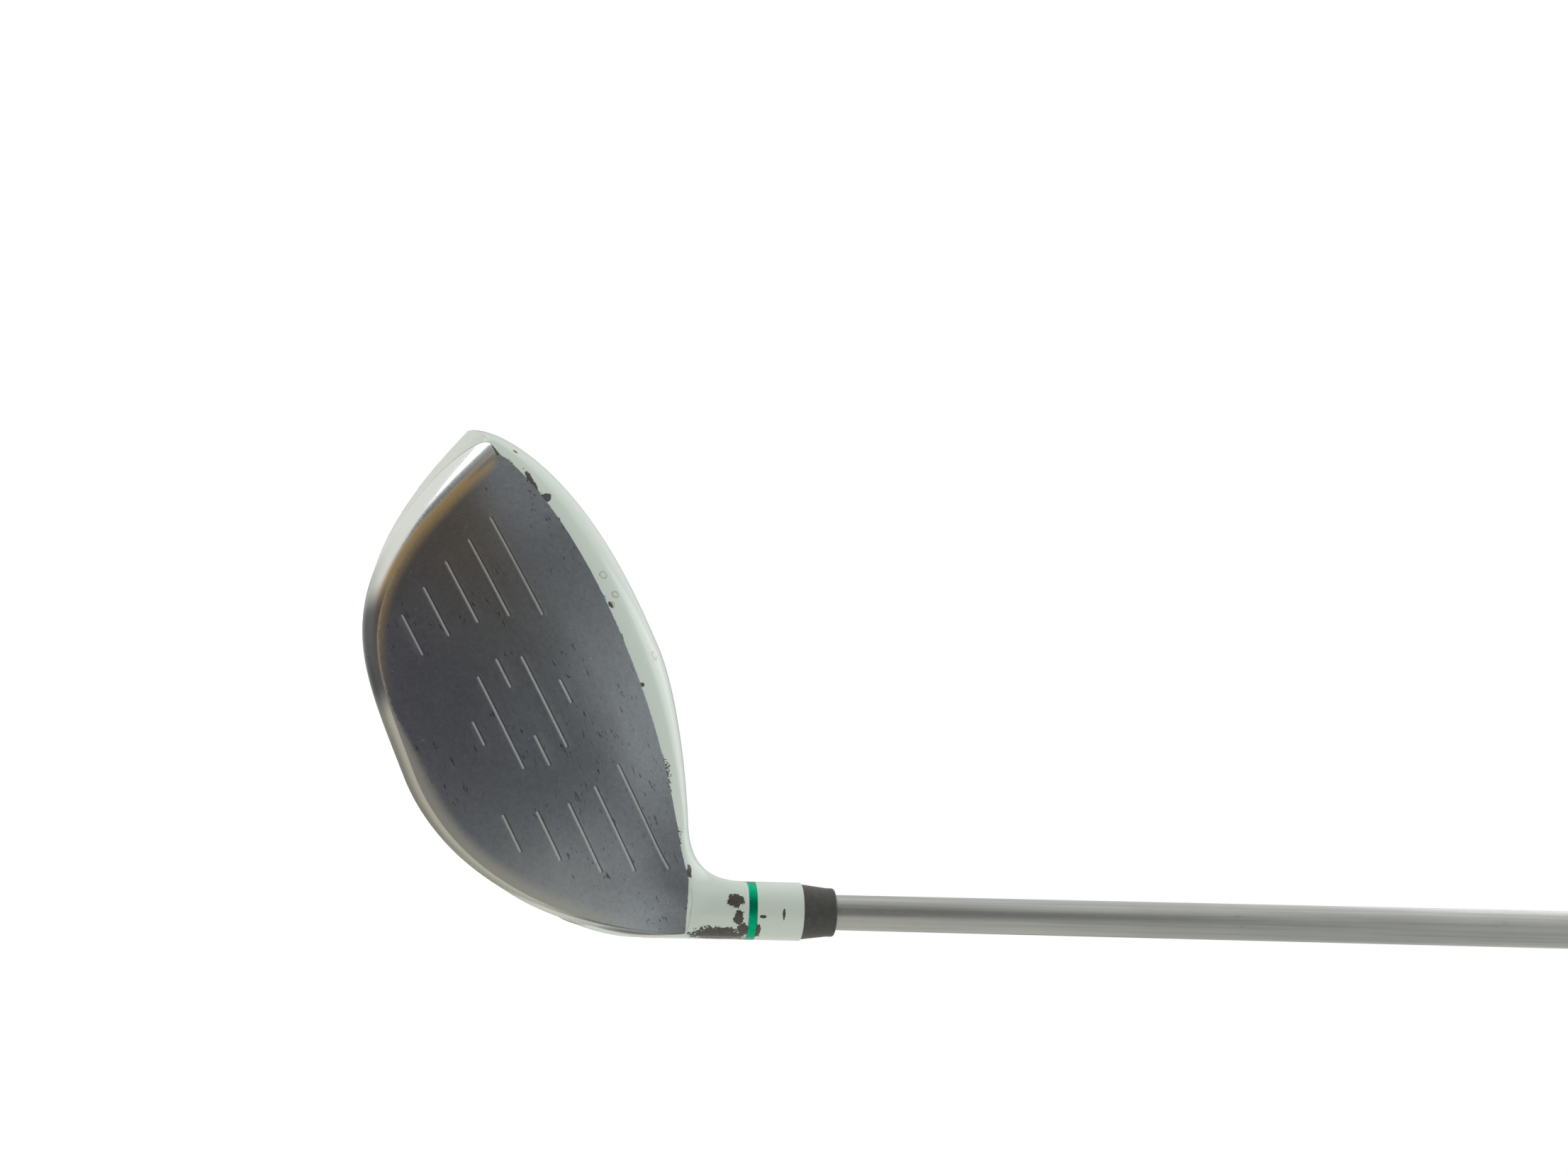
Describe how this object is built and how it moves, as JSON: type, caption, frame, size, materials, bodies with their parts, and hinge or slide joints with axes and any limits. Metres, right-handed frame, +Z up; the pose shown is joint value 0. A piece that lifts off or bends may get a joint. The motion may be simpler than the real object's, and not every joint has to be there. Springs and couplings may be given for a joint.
{
  "type": "golf driver",
  "caption": "Golf driver with a hollow metal head, grooved face, removable adjustable shaft sleeve, sole weight, tapered steel-coloured shaft and rubber grip.",
  "frame": {"origin": "centre of the rest pad under the sole, on the ground", "axes": "+Z up with the club at address, the face towards -Y, the toe towards -X and the shaft leaving the heel towards +X"},
  "size_m": [0.6961, 0.1155, 1.007],
  "materials": {
    "face_metal": "satin",
    "white_paint": "gloss",
    "sole_metal": "satin",
    "pad_metal": "satin",
    "inner_metal": "machined",
    "weight_dark": "satin",
    "screw_steel": "satin",
    "green_anodised": "anodised satin",
    "sleeve_aluminium": "machined",
    "ferrule_plastic": "satin",
    "shaft_graphite": "silver-grey clear coat",
    "plug_foam": "matte",
    "tape": "matte",
    "grip_rubber": "matte"
  },
  "bodies": {
    "shaft_assembly": {"sleeve_barrel": "sleeve_aluminium", "sleeve_collar": "white_paint", "ferrule": "ferrule_plastic", "shaft": "shaft_graphite", "tip_plug": "plug_foam", "grip_tape": "tape", "grip": "grip_rubber", "grip_cap": "grip_rubber"},
    "ring": {"trim_ring": "green_anodised"},
    "head": {"face_cup": "face_metal", "crown": "white_paint", "skirt": "white_paint", "sole_plate": "sole_metal", "sole_pad": "pad_metal", "hosel": "white_paint", "hosel_tube": "inner_metal", "screw_seat": "inner_metal", "weight_port": "inner_metal"},
    "washer": {"screw_washer": "screw_steel"},
    "hosel_screw": {"hosel_screw": "screw_steel"},
    "weight": {"weight_cartridge": "weight_dark"},
    "weight_screw": {"weight_screw": "screw_steel"}
  },
  "joints": [
    {"name": "sleeve_lift", "type": "slide", "parent": "shaft_assembly", "child": "ring", "axis": [-0.5, 0, -0.866], "range_m": [0, 0.045]},
    {"name": "sleeve_turn", "type": "hinge", "parent": "ring", "child": "head", "pos_m": [0.0643, -0.02, 0.05196], "axis": [0.5, 0, 0.866], "continuous": true},
    {"name": "screw_back", "type": "slide", "parent": "head", "child": "washer", "axis": [-0.5, 0, -0.866], "range_m": [0, 0.008]},
    {"name": "screw_turn", "type": "hinge", "parent": "washer", "child": "hosel_screw", "pos_m": [0.0528, -0.02, 0.03204], "axis": [0.5, 0, 0.866], "range_deg": [0, 3610]},
    {"name": "weight_out", "type": "slide", "parent": "head", "child": "weight", "axis": [0, 0.2756, -0.9613], "range_m": [0, 0.008]},
    {"name": "weight_turn", "type": "hinge", "parent": "weight", "child": "weight_screw", "pos_m": [-0.004, 0.04898, 0.00946], "axis": [0, 0.2756, -0.9613], "range_deg": [0, 3610]}
  ],
  "couplings": [
    {"joint": "screw_turn", "follows": "screw_back", "rad_per_m": 7854},
    {"joint": "weight_turn", "follows": "weight_out", "rad_per_m": 7854}
  ]
}
